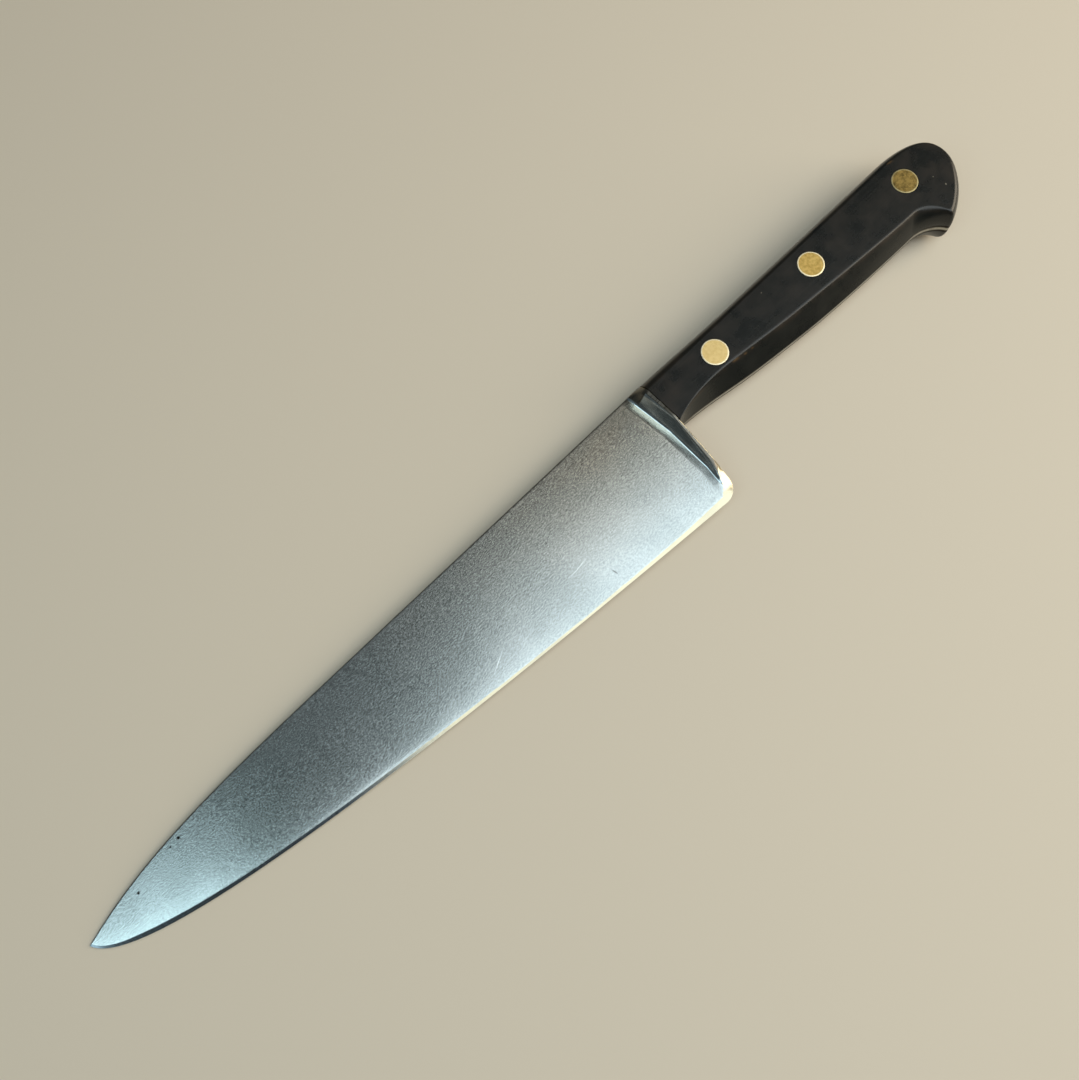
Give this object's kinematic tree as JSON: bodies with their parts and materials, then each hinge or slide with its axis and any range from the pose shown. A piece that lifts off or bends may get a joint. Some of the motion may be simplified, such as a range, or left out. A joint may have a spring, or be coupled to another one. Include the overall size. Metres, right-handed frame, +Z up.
{
  "type": "chef knife",
  "caption": "Full-tang chef knife of the French pattern: curved blade with a finger-guard bolster, black riveted scales and a beaked butt.",
  "frame": {"origin": "centre of the footprint, on the surface that the knife lies on", "axes": "+X from the tip towards the butt, +Y from the cutting edge towards the spine, +Z up through the thickness; the knife lies on its right side, on its tip and bolster, so its long axis rises 1.8 degrees towards the butt"},
  "size_m": [0.3198, 0.0402, 0.0175],
  "materials": {
    "carbon_steel": "satin ground carbon steel with a light grey patina and a polished edge",
    "ebonised_wood": "black, oiled and worn smooth by hand",
    "rivet_brass": "ground flush with the scales, lightly scratched"
  },
  "bodies": {
    "root": {"blade": "carbon_steel", "scale_left": "ebonised_wood", "scale_right": "ebonised_wood", "rivet_tube_front": "rivet_brass", "rivet_tube_middle": "rivet_brass", "rivet_tube_butt": "rivet_brass", "rivet_pin_front": "rivet_brass", "rivet_pin_middle": "rivet_brass", "rivet_pin_butt": "rivet_brass"}
  },
  "joints": []
}
